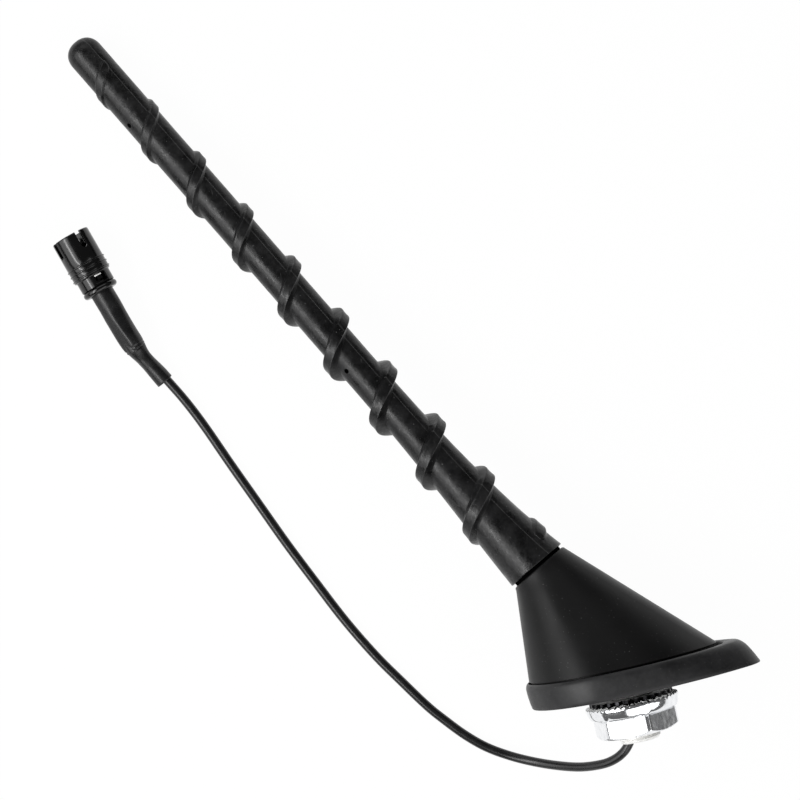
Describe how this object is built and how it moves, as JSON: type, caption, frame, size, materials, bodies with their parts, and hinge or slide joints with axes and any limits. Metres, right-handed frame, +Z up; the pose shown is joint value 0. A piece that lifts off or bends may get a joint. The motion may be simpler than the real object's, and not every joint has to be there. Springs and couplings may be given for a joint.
{
  "type": "car antenna",
  "caption": "Roof antenna: rubber mast with a spiral rib screwed to a leaning conical base, with roof gasket, hollow threaded stud, flange nut and a short coaxial lead with a round push-on connector",
  "frame": {"origin": "Centre of the roof stud in the plane of the gasket's underside, where the antenna seats on a roof.", "axes": "The loose antenna lies on its left side. +Y runs up the roof stud, out of the roof, +X is close to the nose's direction and +Z points up from the surface it lies on. The nose is turned 10 degrees up about the stud's axis, so that gasket rim and mast tip both touch the surface."},
  "size_m": [0.1917, 0.2656, 0.0547],
  "materials": {
    "mast_rubber": "moulded matte rubber with a soft sheen",
    "cover_plastic": "satin black moulded plastic, fine grain",
    "gasket_rubber": "matte black rubber",
    "tray_plastic": "matte dark grey plastic",
    "cast_zinc": "raw die-cast zinc, slightly rough",
    "nut_zinc": "bright zinc plating",
    "washer_zinc": "dark zinc plating",
    "brass": "turned brass",
    "steel": "plain steel",
    "copper": "enamelled copper wire",
    "glass_fibre": "pale glass fibre rod",
    "board_green": "solder mask",
    "cable_black": "semi-gloss black jacket",
    "sleeve_black": "shrink sleeve, satin black, lumpy",
    "connector_black": "glossy black plastic",
    "insulator_white": "white plastic"
  },
  "bodies": {
    "root": {"base_cover": "cover_plastic", "mast_socket": "brass", "base_tray": "tray_plastic", "base_plate": "cast_zinc", "roof_gasket": "gasket_rubber", "circuit_board": "board_green", "shield_can": "steel", "board_screws": "steel", "feed_wire": "copper", "cable_clip": "steel", "antenna_cable": "cable_black", "outer_sleeve": "sleeve_black", "inner_sleeve": "sleeve_black", "crimp_ferrule": "brass", "connector_housing": "connector_black", "lock_tabs": "connector_black", "connector_shield": "connector_black", "connector_insulator": "insulator_white", "connector_contact": "brass"},
    "seal_carrier": {"mast_seal": "gasket_rubber"},
    "mast": {"mast_sheath": "mast_rubber", "mast_rod": "glass_fibre", "mast_winding": "copper", "mast_ferrule": "brass", "mast_stud": "steel"},
    "washer_carrier": {"tooth_washer": "washer_zinc"},
    "nut": {"mounting_nut": "nut_zinc"}
  },
  "joints": [
    {"name": "mast_lift", "type": "slide", "parent": "root", "child": "seal_carrier", "axis": [-0.4744, 0.8763, -0.0837], "range_m": [0, 0.008]},
    {"name": "mast_turn", "type": "hinge", "parent": "seal_carrier", "child": "mast", "pos_m": [-0.01989, 0.0444, -0.00351], "axis": [-0.4744, 0.8763, -0.0837], "range_deg": [-1, 3601]},
    {"name": "nut_travel", "type": "slide", "parent": "root", "child": "washer_carrier", "axis": [0, 1, 0], "range_m": [-0.003, 0.002]},
    {"name": "nut_turn", "type": "hinge", "parent": "washer_carrier", "child": "nut", "pos_m": [0, -0.01, 0], "axis": [0, 1, 0], "range_deg": [-721, 481]}
  ],
  "couplings": [
    {"joint": "mast_turn", "follows": "mast_lift", "rad_per_m": 7854},
    {"joint": "nut_turn", "follows": "nut_travel", "rad_per_m": 4188.8}
  ]
}
